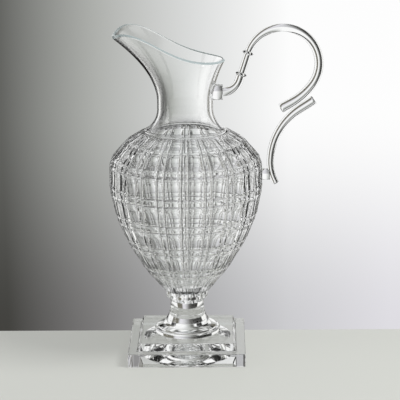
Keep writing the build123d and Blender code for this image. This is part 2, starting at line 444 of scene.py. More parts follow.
@dataclass
class Plinth:
    """Square slab with a tapered tier on it and a domed hollow below."""

    corner_radius: float = 1.5
    corner_facets: int = 4
    edge_angle: float = 40.0
    edge_rounding: float = 0.6
    edge_facets: int = 3
    tier_foot_side: float = 101.0
    tier_top_side: float = 95.0
    tier_height: float = 7.6
    hollow_diameter: float = 90.0
    hollow_depth: float = 12.0
    dome_margin_angle: float = 1.5
    dome_rings: int = 40
    dome_segments: int = 160
    seat_segments: int = 96
    sharp_angle: float = 10.0

    @staticmethod
    def raised(bm: BMesh, faces: list[BMFace], height: float) -> list[BMVert | BMEdge | BMFace]:
        """Extrudes faces up by a height, and returns what that made."""
        made = bmesh.ops.extrude_face_region(bm, geom=faces)["geom"]
        verts = [item for item in made if isinstance(item, BMVert)]
        bmesh.ops.translate(bm, vec=(0, 0, height), verts=verts)
        return made

    @staticmethod
    def is_corner(edge: BMEdge, reach: float) -> bool:
        """Whether an edge runs up one of the slab's four corners."""
        first, second = (vert.co for vert in edge.verts)
        nearest = min(abs(value) for co in (first, second) for value in co.xy)
        return nearest > reach - SAME_PLACE and abs(first.z - second.z) > SAME_PLACE

    def slab_and_tier(self) -> BMesh:
        """Makes the block of the slab and the tier, with its edges rounded."""
        low, high = node_box("plinth")
        side = high.x - low.x
        bm = bmesh.new()
        bmesh.ops.create_grid(bm, x_segments=1, y_segments=1, size=side / 2)
        slab = self.raised(bm, bm.faces[:], high.z - self.tier_height)
        top = [item for item in slab if isinstance(item, BMFace)]
        margin = (side - self.tier_foot_side) / 2
        bmesh.ops.inset_region(bm, faces=top, thickness=margin, use_even_offset=True)
        tier = self.raised(bm, top, self.tier_height)
        bmesh.ops.delete(bm, geom=top, context="FACES_ONLY")
        tier_top = [item for item in tier if isinstance(item, BMVert)]
        share = self.tier_top_side / self.tier_foot_side
        bmesh.ops.scale(bm, vec=(share, share, 1), verts=tier_top)
        corners = [edge for edge in bm.edges if self.is_corner(edge, side / 2)]
        bevel_edges(bm, corners, self.corner_radius, self.corner_facets)
        soften_edges(bm, self.edge_angle, self.edge_rounding, self.edge_facets)
        self.mark_seat(bm, high.z)
        return bm

    def mark_seat(self, bm: BMesh, height: float) -> None:
        """Cuts the foot's round seat into the tier's top and marks it as cemented."""
        top = [face for face in bm.faces if is_level(face, height)]
        square = [e for f in top for e in f.edges if any(g not in top for g in e.link_faces)]
        bmesh.ops.delete(bm, geom=top, context="FACES_ONLY")
        seat_radius = node_box("foot_and_stem")[1].y - SEAT_MARGIN
        circle = bmesh.ops.create_circle(
            bm,
            cap_ends=True,
            radius=seat_radius,
            segments=self.seat_segments,
            matrix=Matrix.Translation((0, 0, height)),
        )
        around = list({edge for vert in circle["verts"] for edge in vert.link_edges})
        bmesh.ops.bridge_loops(bm, edges=square + around)
        cement_seat(bm, height, 0, seat_radius)

    def dome(self) -> BMesh:
        """Makes the ball whose cap is the hollow under the slab."""
        rim = self.hollow_diameter / 2
        radius = (rim**2 + self.hollow_depth**2) / (2 * self.hollow_depth)
        centre = (0.0, self.hollow_depth - radius)
        start = QUARTER_TURN - degrees(asin(rim / radius)) - self.dome_margin_angle
        cap = arc_points(centre, radius, start, QUARTER_TURN, self.dome_rings)
        return lathe([(0.0, cap[0][1]), *cap], self.dome_segments)

    def build(self, finish: ClearAcrylic) -> Object:
        """Cuts the dome out of the block and dresses the plinth."""
        solids = {"plinth_block": self.slab_and_tier(), "plinth_dome": self.dome()}
        for bm in solids.values():
            bmesh.ops.recalc_face_normals(bm, faces=bm.faces)
        block, ball = [mesh_object(name, bm) for name, bm in solids.items()]
        cut = block.modifiers.new("hollow", "BOOLEAN")
        cut.operation = "DIFFERENCE"
        cut.solver = "EXACT"
        cut.object = ball
        graph = bpy.context.evaluated_depsgraph_get()
        bm = bmesh.new()
        bm.from_mesh(block.evaluated_get(graph).to_mesh())
        for helper in (block, ball):
            bpy.data.objects.remove(helper)
        return make_piece(
            "clear_plinth", bm, finish, Slot.PLINTH, "plinth", sharp_angle=self.sharp_angle
        )


@dataclass
class FootAndStem:
    """Stepped round foot, concave stem and the fluted collar under the bowl."""

    edge_height: float = 3.2
    edge_bevel: float = 1.2
    step_width: float = 2.4
    step_height: float = 1.4
    flare_diameter: float = 51.0
    waist_diameter: float = 34.2
    waist_height: float = 29.8
    waist_length: float = 3.0
    stem_steps: int = 28
    collar_diameter: float = 42.8
    collar_slope_height: float = 4.6
    slope_steps: int = 8
    collar_steps: int = 6
    flute_depth: float = 1.5
    flute_count: int = 20
    flute_half_angle: float = 5.0
    steps_per_flute: int = 12
    edge_angle: float = 30.0
    rounding: float = 0.35
    rounding_facets: int = 3

    def __post_init__(self) -> None:
        """Reads the heights from the frame."""
        self.low, self.high = node_box("foot_and_stem")
        self.base = self.low.z + JOINT_GAP
        self.top = self.high.z - JOINT_GAP
        self.waist_foot = self.low.z + self.waist_height
        self.waist_top = self.waist_foot + self.waist_length
        self.slope_top = self.waist_top + self.collar_slope_height

    @property
    def seat_radius(self) -> float:
        """Radius of the bowl's cemented seat, clear of the flutes."""
        return self.collar_diameter / 2 - self.flute_depth - SEAT_MARGIN

    def profile(self) -> list[tuple[float, float]]:
        """Outline of the turned body, from the axis below to the axis above."""
        foot = (self.high.x - self.low.x) / 2
        edge_top = self.base + self.edge_height
        step_foot = edge_top + self.edge_bevel
        step = foot - self.edge_bevel - self.step_width
        step_top = step_foot + self.step_height
        flare = (self.flare_diameter / 2, step_top + self.step_height)
        waist = self.waist_diameter / 2
        collar = self.collar_diameter / 2
        spread = flare[0] - waist
        drop = self.waist_foot - flare[1]
        bend = (spread**2 + drop**2) / (2 * spread)
        start = HALF_TURN + degrees(asin(drop / bend))
        stem = arc_points((waist + bend, self.waist_foot), bend, start, HALF_TURN, self.stem_steps)
        points = [(0, self.base), (foot - SEAT_MARGIN, self.base), (foot, self.base)]
        points += [(foot, edge_top), (foot - self.edge_bevel, step_foot), (step, step_foot)]
        points += [(step, step_top), *stem, (waist, self.waist_top)]
        widths = between(waist, collar, self.slope_steps) + [collar]
        heights = between(self.waist_top, self.slope_top, self.slope_steps) + [self.slope_top]
        points += zip(widths, heights)
        shoulder = self.top - self.flute_depth / 2
        points += [(collar, z) for z in between(self.slope_top, shoulder, self.collar_steps)]
        points += [(collar, shoulder), (collar - self.flute_depth / 2, self.top)]
        return points + [(self.seat_radius, self.top), (0, self.top)]

    def cut_flutes(self, bm: BMesh) -> None:
        """Sinks a V-shaped flute, pointed at its lower end, between each two blocks."""
        pitch = FULL_TURN / self.flute_count
        for vert in bm.verts:
            radius = hypot(vert.co.x, vert.co.y)
            if vert.co.z <= self.waist_top or radius < self.waist_diameter / 2:
                continue
            angle = degrees(atan2(vert.co.y, vert.co.x)) % pitch
            off_centre = abs(angle - pitch / 2) / self.flute_half_angle
            grown = min(1, (vert.co.z - self.waist_top) / (self.slope_top - self.waist_top))
            depth = self.flute_depth * (grown - off_centre)
            if depth > 0:
                vert.co.xy *= 1 - depth / radius

    def build(self, finish: ClearAcrylic) -> Object:
        """Turns the foot, cuts its flutes and dresses it."""
        bm = lathe(self.profile(), self.flute_count * self.steps_per_flute)
        soften_edges(bm, self.edge_angle, self.rounding, self.rounding_facets)
        self.cut_flutes(bm)
        cement_seat(bm, self.base, 0, self.high.x - SEAT_MARGIN)
        cement_seat(bm, self.top, 0, self.seat_radius)
        return make_piece("clear_foot_and_stem", bm, finish, Slot.FOOT, "foot_and_stem")


@dataclass
class Bowl:
    """Urn-shaped bowl with pairs of rounded ribs down it and pairs of rings round it.

    The two mouldings are welded where a pair of rings hides the seam, and welded clear
    acrylic shows no face inside, so one mesh stands for both.

    Args:
        foot_seat: Radius of the stem's cemented seat.
        neck_seat: Outer radius of the neck's cemented seat.
    """

    foot_seat: float
    neck_seat: float
    foot_diameter: float = 47.2
    top_diameter: float = 91.4
    taper_height: float = 122.5
    taper_power: float = 2.0
    shoulder_power: float = 2.6
    wall: float = 2.6
    floor_thickness: float = 9.0
    floor_shares: tuple[float, ...] = (0.9, 0.6, 0.3, 0)
    pair_count: int = 20
    pair_spread_angle: float = 5.3
    rib_half_angle: float = 1.4
    rib_rise: float = 0.0165
    crossing_power: float = 2.25
    ridge_power: float = 0.75
    ridge_samples: tuple[float, ...] = (-1, -0.9, -0.66, -0.33, 0, 0.33, 0.66, 0.9, 1)
    ring_spread: float = 7.4
    ring_half_width: float = 1.9
    taper_ring_places: tuple[float, ...] = (0.197, 0.438, 0.649, 0.88)
    shoulder_ring_place: float = 0.323
    top_ring_place: float = 0.804
    panel_columns: int = 5
    panel_row_height: float = 6.0
    inner_rows: int = 40
    slope_step: float = 0.5
    first_column_angle: float = -90.0
    sharp_angle: float = 50.0

    def __post_init__(self) -> None:
        """Reads the heights and the widest radius from the frame."""
        low, high = node_box("bowl_lower")[0], node_box("bowl_upper")[1]
        self.foot = low.z + JOINT_GAP
        self.top = high.z - JOINT_GAP
        self.widest = low.z + self.taper_height
        self.radius = high.y
        self.shoulder_height = high.z - self.widest
        self.opening_radius = self.inner_radius(high.z)
        pairs = [self.widest - self.taper_height * (1 - p) for p in self.taper_ring_places]
        pairs += [self.widest + self.shoulder_height * self.shoulder_ring_place]
        top_ring = self.widest + self.shoulder_height * self.top_ring_place
        half = self.ring_spread / 2
        self.rings = [z + side * half for z in pairs for side in (-1, 1)] + [top_ring]
        reach = half + self.ring_half_width
        ends = [z + side * reach for z in pairs for side in (-1, 0, 1)]
        ends += [top_ring - self.ring_half_width, top_ring + self.ring_half_width]
        self.straight_ends = [self.foot, *ends, self.top]

    def outline_radius(self, height: float) -> float:
        """Radius of the ribs' crests at a height."""
        if height < self.widest:
            share = (self.widest - height) / self.taper_height
            return self.radius - (self.radius - self.foot_diameter / 2) * share**self.taper_power
        share = (height - self.widest) / self.shoulder_height
        return self.radius - (self.radius - self.top_diameter / 2) * share**self.shoulder_power

    def panel_radius(self, height: float) -> float:
        """Radius of the clear panels between the ribs."""
        return self.outline_radius(height) / (1 + self.rib_rise)

    def inner_radius(self, height: float) -> float:
        """Radius of the inside, a wall's thickness in from the panels."""
        step = self.slope_step
        slope = (self.panel_radius(height + step) - self.panel_radius(height - step)) / (2 * step)
        return self.panel_radius(height) - self.wall * sqrt(1 + slope**2)

    def band_radius(self, height: float) -> float:
        """Radius of the panels, which run straight from each pair of rings to the next."""
        for low, high in zip(self.straight_ends, self.straight_ends[1:]):
            if height <= high:
                share = (height - low) / (high - low)
                return self.panel_radius(low) * (1 - share) + self.panel_radius(high) * share
        return self.panel_radius(self.top)

    def ridge(self, distance: float, half_width: float) -> float:
        """Share of its full rise that a rounded ridge has at a distance from its crest."""
        if abs(distance) >= half_width:
            return 0
        return cos(pi / 2 * distance / half_width) ** self.ridge_power

    def outer_radius(self, angle: float, height: float) -> float:
        """Radius of the outside, ribs and rings included.

        Args:
            angle: Angle from the nearest rib pair's valley, in degrees.
            height: Height above the plinth's underside.

        Returns:
            The radius.
        """
        half_pitch = FULL_TURN / self.pair_count / 2
        half_panel = half_pitch - (self.pair_spread_angle / 2 + self.rib_half_angle)
        off_middle = min(abs(abs(angle) - half_pitch), half_panel)
        flat = cos(radians(half_panel)) / cos(radians(off_middle))
        rib = self.ridge(abs(angle) - self.pair_spread_angle / 2, self.rib_half_angle)
        ring = max(self.ridge(height - z, self.ring_half_width) for z in self.rings)
        power = self.crossing_power
        rise = (rib**power + ring**power) ** (1 / power)
        return self.band_radius(height) * flat * (1 + self.rib_rise * rise)

    def column_angles(self) -> list[float]:
        """Angles of the columns in one pitch, from a pair's valley to the next one's."""
        pitch = FULL_TURN / self.pair_count
        rib = self.pair_spread_angle / 2
        right = [rib + s * self.rib_half_angle for s in self.ridge_samples]
        left = [pitch - rib + s * self.rib_half_angle for s in self.ridge_samples]
        panel = between(right[-1], left[0], self.panel_columns)
        valley = right[0] / 2
        return [0, valley] + right + panel + left + [pitch - valley]

    def outer_heights(self) -> list[float]:
        """Heights of the rows on the outside, closer together over the rings."""
        heights = set(self.straight_ends)
        for ring in self.rings:
            heights.update(ring + s * self.ring_half_width for s in self.ridge_samples)
        plain = sorted(heights)
        for low, high in zip(plain, plain[1:]):
            if high - low > 2 * self.ring_half_width:
                heights.update(between(low, high, ceil((high - low) / self.panel_row_height)))
        return sorted(h for h in heights if self.foot <= h <= self.top)

    def rows(self) -> list[tuple[float, float, bool]]:
        """Rows from the foot's centre over the outside and down the inside to the floor.

        Returns:
            For each row its radius and height, and whether the ribs set the radius.
        """
        floor = self.foot + self.floor_thickness
        rows = [(0.0, self.foot, False), (self.foot_seat, self.foot, False)]
        rows += [(0.0, height, True) for height in self.outer_heights()]
        rows += [(self.neck_seat, self.top, False)]
        for k in range(self.inner_rows + 1):
            height = self.top - (self.top - floor) * sin(pi / 2 * k / self.inner_rows)
            rows += [(self.inner_radius(height), height, False)]
        return rows + [(self.inner_radius(floor) * s, floor, False) for s in self.floor_shares]

    def build(self, finish: ClearAcrylic) -> Object:
        """Makes the skin in one closed grid and dresses the bowl."""
        angles = self.column_angles()
        rows = self.rows()
        pitch = FULL_TURN / self.pair_count

        def place(column: int, row: int) -> Point:
            """Point of the bowl's skin at a column and a row."""
            pair, step = divmod(column, len(angles))
            radius, height, ribbed = rows[row]
            angle = angles[step]
            if ribbed:
                off_valley = angle if angle <= pitch / 2 else angle - pitch
                radius = self.outer_radius(off_valley, height)
            turn = radians(pair * pitch + angle + self.first_column_angle)
            return radius * cos(turn), radius * sin(turn), height

        bm = wrapped_grid(self.pair_count * len(angles), len(rows) - 1, place)
        cement_seat(bm, self.foot, 0, self.foot_seat)
        cement_seat(bm, self.top, self.inner_radius(self.top) - SEAT_MARGIN, self.neck_seat)
        nodes = ("bowl_lower", "bowl_upper")
        return make_piece(
            "clear_bowl", bm, finish, Slot.BOWL, *nodes, sharp_angle=self.sharp_angle
        )


@dataclass
class Neck:
    """Smooth neck on its seat ring, flaring into an oval mouth with a pouring lip."""

    wall: float = 3.0
    ring_radius: float = 44.0
    ring_height: float = 2.4
    ring_ledge: float = 3.6
    ring_steps: int = 9
    throat_diameter: float = 56.6
    throat_rise: float = 23.7
    throat_length: float = 8.0
    stem_steps: int = 14
    flare_height: float = 61.0
    flare_steps: int = 40
    lip_reach: float = 39.7
    lip_curve: float = 1.9
    back_reach: float = 24.5
    back_curve: float = 1.7
    side_reach: float = 20.0
    side_curve: float = 1.25
    lip_tip_height: float = 65.5
    lip_tip_slope: float = 1.1
    lip_crest_height: float = 73.2
    lip_crest_setback: float = 17.2
    rim_middle_height: float = 58.2
    rim_middle_reach: float = 20.0
    rim_centre_height: float = 49.2
    mouth_back_height: float = 43.2
    rim_margin: float = 3.0
    rim_rounding: float = 0.7
    rim_slope_drop: float = 1.9
    columns: int = 192

    def __post_init__(self) -> None:
        """Reads the seat from the frame and works out the rim's curve."""
        self.seat = node_box("neck_and_spout")[0].z
        self.throat = self.throat_diameter / 2
        self.throat_foot = self.seat + self.throat_rise
        self.throat_top = self.throat_foot + self.throat_length
        tip = -self.reaches(self.throat_top + self.lip_tip_height)[0]
        rise = self.lip_tip_slope * self.rim_margin
        self.rim_points = [
            (tip - self.rim_margin, self.lip_tip_height - self.rim_margin),
            (tip + self.rim_margin, self.lip_tip_height + rise),
            (tip + self.lip_crest_setback, self.lip_crest_height),
            (-self.rim_middle_reach, self.rim_middle_height),
            (0.0, self.rim_centre_height),
            (self.throat, self.mouth_back_height),
            (self.throat_diameter, self.mouth_back_height),
        ]
        self.bends = self.spline_bends(self.rim_points)
        self.rim_skin: list[Point] = []

    @staticmethod
    def spline_bends(points: list[tuple[float, float]]) -> list[float]:
        """Second derivatives of the smooth curve through points, none at its two ends."""
        spans = [b[0] - a[0] for a, b in zip(points, points[1:])]
        slopes = [(b[1] - a[1]) / s for a, b, s in zip(points, points[1:], spans)]
        bends = [0.0] * len(points)
        for _ in range(SETTLING_ROUNDS):
            for k in range(1, len(points) - 1):
                pull = 6 * (slopes[k] - slopes[k - 1])
                rest = spans[k - 1] * bends[k - 1] + spans[k] * bends[k + 1]
                bends[k] = (pull - rest) / (2 * (spans[k - 1] + spans[k]))
        return bends

    def rim_height(self, x: float) -> float:
        """Height of the rim at a distance from the axis towards the handle."""
        points = self.rim_points
        x = min(max(x, points[0][0]), points[-1][0])
        k = next(k for k in range(len(points) - 1) if x <= points[k + 1][0])
        (x0, z0), (x1, z1) = points[k], points[k + 1]
        a = (x1 - x) / (x1 - x0)
        b = 1 - a
        curve = (a**3 - a) * self.bends[k] + (b**3 - b) * self.bends[k + 1]
        return self.throat_top + a * z0 + b * z1 + curve * (x1 - x0) ** 2 / 6

    def reaches(self, height: float) -> tuple[float, float, float]:
        """How far the outside reaches at a height: to the lip, to the handle and sideways."""
        share = max(height - self.throat_top, 0) / self.flare_height
        front = self.throat + self.lip_reach * share**self.lip_curve
        back = self.throat + self.back_reach * share**self.back_curve
        return front, back, self.throat + self.side_reach * share**self.side_curve

    def point(self, turn: float, height: float, inset: float) -> Point:
        """Point of the neck's wall.

        Args:
            turn: Angle round the section, in radians from +X.
            height: Height above the plinth's underside.
            inset: Distance in from the outside.

        Returns:
            The point.
        """
        if height <= self.throat_top:
            radius = self.stem_radius(height, inset)
            return radius * cos(turn), radius * sin(turn), height
        front, back, half_width = self.reaches(height)
        x = (back - front) / 2 + ((front + back) / 2 - inset) * cos(turn)
        return x, (half_width - inset) * sin(turn), height

    def stem_radius(self, height: float, inset: float) -> float:
        """Radius of the round part of the neck, below the flare."""
        if height >= self.throat_foot:
            return self.throat - inset
        foot, foot_height = self.ring_radius - self.ring_ledge, self.seat + self.ring_height
        if inset > 0:
            foot, foot_height = self.inner_foot, self.seat
        spread = foot - (self.throat - inset)
        drop = self.throat_foot - foot_height
        bend = (spread**2 + drop**2) / (2 * spread)
        return self.throat - inset + bend - sqrt(bend**2 - (self.throat_foot - height) ** 2)

    def rim(self, turn: float, inset: float) -> float:
        """Height at which the wall meets the rim."""
        height = self.throat_top + self.mouth_back_height
        for _ in range(SETTLING_ROUNDS):
            target = self.rim_height(self.point(turn, height, inset)[0])
            height += (target - height) * SETTLING_SHARE
        return height

    def wall_heights(self, foot: float, rim: float) -> list[float]:
        """Heights of a wall's points, from its foot to where the rim's rounding starts."""
        stem = [max(foot, self.seat + JOINT_GAP)]
        stem += between(foot, self.throat_foot, self.stem_steps)
        stem += [self.throat_foot, (self.throat_foot + self.throat_top) / 2]
        flare = rim - self.rim_rounding - self.throat_top
        steps = range(self.flare_steps + 1)
        return stem + [self.throat_top + flare * k / self.flare_steps for k in steps]

    def rim_bead(self, outer: Point, inner: Point) -> list[Point]:
        """Points over the rim, from its outer edge to its inner edge, both rounded."""
        across = Vector(inner) - Vector(outer)
        steps = [back for back, _ in roundings(self.rim_rounding / self.wall)[1:]]
        drops = [Vector((0, 0, down)) for _, down in roundings(self.rim_rounding)[1:]]
        points = [Vector(outer) + across * s - d for s, d in zip(steps, drops)]
        points += [Vector(inner) - across * s - d for s, d in zip(steps[::-1], drops[::-1])]
        return [tuple(point) for point in points]

    def column(self, turn: float) -> list[Point]:
        """Points of one upright strip: seat ring, outside, rim, inside and back to the seat.

        Args:
            turn: Angle round the section, in radians from +X.

        Returns:
            The points, the last the same as the first.
        """
        seat, ring_top = self.seat + JOINT_GAP, self.seat + self.ring_height
        points = []
        for share in (k / self.ring_steps for k in range(self.ring_steps + 1)):
            radius = self.ring_radius - self.ring_ledge * share
            height = seat + (ring_top - seat) * (1 - cos(pi * share)) / 2
            points += [(radius * cos(turn), radius * sin(turn), height)]
        outer_rim = self.rim(turn, 0) - self.rim_slope_drop
        inner_rim = self.rim(turn, self.wall)
        points += [self.point(turn, z, 0) for z in self.wall_heights(ring_top, outer_rim)]
        outer, inner = self.point(turn, outer_rim, 0), self.point(turn, inner_rim, self.wall)
        bead = self.rim_bead(outer, inner)
        self.rim_skin += bead
        inside = reversed(self.wall_heights(self.seat, inner_rim))
        points += bead + [self.point(turn, z, self.wall) for z in inside]
        return points + [points[0]]

    def mark_rim(self, bm: BMesh) -> None:
        """Gives the rim's faces the finish of a cut edge, with its painted pale glow."""
        tree = KDTree(len(self.rim_skin))
        for number, point in enumerate(self.rim_skin):
            tree.insert(point, number)
        tree.balance()
        for face in bm.faces:
            if all(tree.find(vert.co)[2] < SAME_POINT for vert in face.verts):
                # These rim faces take the cut edge's painted pale glow.
                face.material_index = Layer.CUT_EDGE_PAINTED_GLOW

    def build(self, finish: ClearAcrylic, inner_foot: float) -> Object:
        """Makes the neck in one closed grid and dresses it.

        Args:
            finish: The neck's finish.
            inner_foot: Radius of the bowl's opening, which the neck's inside carries on from.

        Returns:
            The finished piece.
        """
        self.inner_foot = inner_foot
        strips = [self.column(2 * pi * k / self.columns) for k in range(self.columns)]
        bm = wrapped_grid(self.columns, len(strips[0]) - 1, lambda column, row: strips[column][row])
        cement_seat(bm, self.seat + JOINT_GAP, inner_foot - SEAT_MARGIN, self.ring_radius)
        self.mark_rim(bm)
        return make_piece("clear_neck_and_spout", bm, finish, Slot.NECK, "neck_and_spout")


@dataclass(frozen=True)
class Station:
    """One section of a rod: its centre, the way it faces and its radius."""

    centre: Vector
    heading: Vector
    radius: float


@dataclass
class RodPath:
    """Line of a bent rod in the XZ plane, of straight runs and tangent arcs.

    Args:
        start: Where the rod begins.
        heading: Angle in which it sets out, in degrees from +X towards +Z.
    """

    start: Vector
    heading: float

    def __post_init__(self) -> None:
        """Starts with no runs, each of which is a length and a turn in degrees."""
        self.runs: list[tuple[float, float]] = []

    def line(self, length: float) -> "RodPath":
        """Adds a straight run."""
        self.runs.append((length, 0.0))
        return self

    def arc(self, radius: float, turn: float) -> "RodPath":
        """Adds an arc that turns by an angle in degrees, left if it is positive."""
        self.runs.append((radius * radians(abs(turn)), turn))
        return self

    def length(self, runs: int | None = None) -> float:
        """Length of the first few runs, or of the whole path."""
        return sum(length for length, _ in self.runs[:runs])

    def at(self, distance: float) -> tuple[Vector, Vector]:
        """Point and direction at a distance along the path."""
        point, heading = self.start.copy(), radians(self.heading)
        for number, (length, turn) in enumerate(self.runs, 1):
            last = number == len(self.runs)
            here = distance if last else min(distance, length)
            swing = radians(turn) * here / length
            if abs(swing) > NO_TURN:
                across = sin(heading + swing) - sin(heading)
                up = cos(heading) - cos(heading + swing)
                point += Vector((across, 0, up)) * (length / radians(turn))
            else:
                point += Vector((cos(heading), 0, sin(heading))) * here
            heading += swing
            distance -= here
            if distance <= NO_TURN and not last:
                break
        return point, Vector((cos(heading), 0, sin(heading)))


def extrude_rod(stations: list[Station], segments: int) -> BMesh:
    """Round rod, extruded ring by ring from one station to the next.

    Args:
        stations: Its sections in order.
        segments: Number of sides of the round.

    Returns:
        The closed mesh.
    """
    bm = bmesh.new()
    side = Vector((0, 1, 0))
    ring = bmesh.ops.create_circle(bm, cap_ends=False, radius=1, segments=segments)["verts"]
    turns = [atan2(vert.co.y, vert.co.x) for vert in ring]

    def settle(verts: list[BMVert], station: Station) -> None:
        """Moves a ring's points to a station."""
        across = station.heading.cross(side)
        for vert, turn in zip(verts, turns):
            reach = across * cos(turn) + side * sin(turn)
            vert.co = station.centre + reach * station.radius

    settle(ring, stations[0])
    bmesh.ops.contextual_create(bm, geom=ring)
    edges = bm.edges[:]
    for station in stations[1:]:
        grown = bmesh.ops.extrude_edge_only(bm, edges=edges)["geom"]
        new_verts = {item for item in grown if isinstance(item, BMVert)}
        ring = [
            next(edge.other_vert(vert) for edge in vert.link_edges
                 if edge.other_vert(vert) in new_verts)
            for vert in ring
        ]
        settle(ring, station)
        edges = [item for item in grown if isinstance(item, BMEdge)
                 and all(vert in new_verts for vert in item.verts)]
    bmesh.ops.contextual_create(bm, geom=ring)
    return bm


@dataclass(kw_only=True)
class Rod(ABC):
    """Bent round rod of the handle.

    Args:
        node: The CAD node that it stands for.
        end_rounding: Rounding of a free end.
        spacing: Largest distance between two of its sections.
        segments: Number of sides of the round.
    """

    path: RodPath = field(init=False)
    node: str
    end_rounding: float = 1.4
    spacing: float = 1.1
    segments: int = 64

    @abstractmethod
    def radius(self, distance: float) -> float:
        """Radius of the rod at a distance along it."""

    @abstractmethod
    def marks(self) -> list[float]:
        """Distances along the rod where its section changes."""

    def rounded(self, radius: float, left: float) -> float:
        """Radius of the rod where a free end is a distance away."""
        if left >= self.end_rounding:
            return radius
        drop = sqrt(self.end_rounding**2 - (self.end_rounding - left) ** 2)
        return radius - (self.end_rounding - drop)

    def build(self, finish: ClearAcrylic) -> Object:
        """Extrudes the rod along its path and dresses it."""
        marks = sorted(set(self.marks()))
        distances = list(marks)
        for low, high in zip(marks, marks[1:]):
            distances += between(low, high, max(1, ceil((high - low) / self.spacing)))
        stations = [Station(*self.path.at(d), self.radius(d)) for d in sorted(distances)]
        bm = extrude_rod(stations, self.segments)
        return make_piece(f"clear_{self.node}", bm, finish, Slot.ROD, self.node)


@dataclass(kw_only=True)
class UpperRod(Rod):
    """Upper rod of the handle: bent arm, shank between two beads, and the C-scroll."""

    neck: Neck
    node: str = "handle_upper_rod"
    start_height: float = 8.4
    bend_radius: float = 17.5
    rise_angle: float = 72.0
    arm_length: float = 29.0
    arm_diameter: float = 8.6
    shank_diameter: float = 7.2
    bead_diameter: float = 11.6
    bead_width: float = 3.2
    bead_crown: float = 0.25
    bead_step: float = 0.01
    bead_spacing: float = 22.7
    scroll_radius: float = 36.6
    scroll_turn: float = 200.0
    scroll_start_diameter: float = 7.2
    scroll_end_diameter: float = 9.8
    curl_radius: float = 68.0
    curl_turn: float = 23.0
    end_length: float = 11.5
    meeting_turn: float = 19.0

    def __post_init__(self) -> None:
        """Bends the centre line from the boss to the scroll's end, and places the beads."""
        boss_end = node_box("handle_boss")[1].x
        self.path = RodPath(Vector((boss_end, 0, self.neck.throat_top + self.start_height)), 0)
        self.path.arc(self.bend_radius, self.rise_angle).line(self.arm_length)
        self.path.arc(self.scroll_radius, -self.scroll_turn)
        self.path.arc(self.curl_radius, -self.curl_turn).line(self.end_length)
        self.upper_bead = self.path.length(2)
        self.lower_bead = self.upper_bead - self.bead_spacing

    def meeting(self) -> tuple[Vector, Vector]:
        """Point and direction where the lower rod touches the curl."""
        return self.path.at(self.path.length(3) + self.curl_radius * radians(self.meeting_turn))

    def radius(self, distance: float) -> float:
        """Radius of the rod at a distance along it, beads and rounded end included."""
        if distance < self.lower_bead:
            plain = self.arm_diameter / 2
        elif distance < self.upper_bead:
            plain = self.shank_diameter / 2
        else:
            share = (distance - self.upper_bead) / (self.path.length() - self.upper_bead)
            spread = self.scroll_end_diameter - self.scroll_start_diameter
            plain = (self.scroll_start_diameter + spread * share) / 2
        off_bead = min(abs(distance - bead) for bead in (self.upper_bead, self.lower_bead))
        if off_bead < self.bead_width / 2:
            plain = max(plain, self.bead_diameter / 2 - off_bead)
        return self.rounded(plain, self.path.length() - distance)

    def marks(self) -> list[float]:
        """Distances along the rod where its section changes."""
        length = self.path.length()
        half_width = self.bead_width / 2
        offsets = (0, self.bead_crown, half_width, half_width + self.bead_step)
        marks = [JOINT_GAP] + [length - back for back, _ in roundings(self.end_rounding)]
        for bead in (self.lower_bead, self.upper_bead):
            marks += [bead + side * offset for offset in offsets for side in (-1, 1)]
        return marks


@dataclass(kw_only=True)
class LowerRod(Rod):
    """Lower rod of the handle, from beside the scroll round to its foot near the bowl."""

    upper: UpperRod
    node: str = "handle_lower_rod"
    seat_gap: float = 0.3
    top_length: float = 17.0
    standoff: float = 8.0
    foot_radius: float = 43.0
    foot_turn: float = 31.0
    top_diameter: float = 9.4
    foot_diameter: float = 6.4

    def __post_init__(self) -> None:
        """Bends the centre line, which hangs straight down beside the bowl."""
        meeting, heading = self.upper.meeting()
        across = Vector((-heading.z, 0, heading.x))
        apart = (self.upper.scroll_end_diameter + self.top_diameter) / 2 + self.seat_gap
        start = meeting + across * apart
        angle = degrees(atan2(heading.z, heading.x)) % FULL_TURN
        turn = FULL_TURN - QUARTER_TURN - angle
        tangent = (node_box("bowl_upper")[1].y + self.standoff - start.x) / heading.x
        self.path = RodPath(start - heading * self.top_length, angle).line(self.top_length)
        self.path.arc(tangent / tan(radians(turn / 2)), turn).arc(self.foot_radius, self.foot_turn)

    def radius(self, distance: float) -> float:
        """Radius of the rod at a distance along it, with both ends rounded."""
        length = self.path.length()
        spread = self.foot_diameter - self.top_diameter
        plain = (self.top_diameter + spread * distance / length) / 2
        return self.rounded(plain, min(distance, length - distance))

    def marks(self) -> list[float]:
        """Distances along the rod where its section changes."""
        ends = [back for back, _ in roundings(self.end_rounding)]
        return ends + [self.path.length() - end for end in ends]


